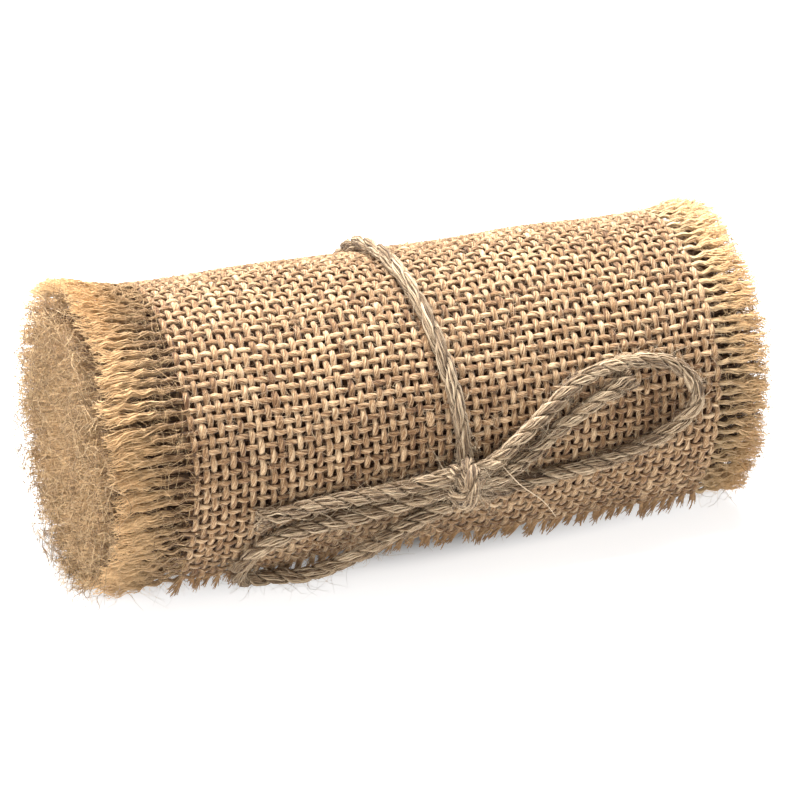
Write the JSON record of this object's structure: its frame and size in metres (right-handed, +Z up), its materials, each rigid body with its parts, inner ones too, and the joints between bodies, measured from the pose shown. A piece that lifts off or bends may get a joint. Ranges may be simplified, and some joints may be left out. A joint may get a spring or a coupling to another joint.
{
  "type": "ribbon roll",
  "caption": "Roll of natural burlap ribbon with frayed edges, tied round its middle with jute twine in a bow.",
  "frame": {"origin": "on the surface that the roll lies on, under the middle of its whole length, fringes included", "axes": "+X along the roll towards the shorter fringe, -Y towards the front with the bow, +Z up"},
  "size_m": [0.152, 0.0777, 0.0674],
  "materials": {
    "burlap": "open plain weave of slubby natural jute yarn",
    "fringe": "loose frayed jute yarn, wavy from the weave",
    "twine": "hairy two-ply jute twine"
  },
  "bodies": {
    "roll": {"woven_ribbon": "burlap", "left_fringe": "fringe", "right_fringe": "fringe", "cut_end_tufts": "fringe"},
    "tie": {"twine_band": "twine", "bow_knot": "twine", "left_loop": "twine", "right_loop": "twine", "left_tail": "twine", "right_tail": "twine"}
  },
  "joints": [
    {"name": "tie_slide", "type": "slide", "parent": "roll", "child": "tie", "axis": [1, 0, 0], "range_m": [-0.14, 0.13], "deforming": ["twine_band"]}
  ]
}
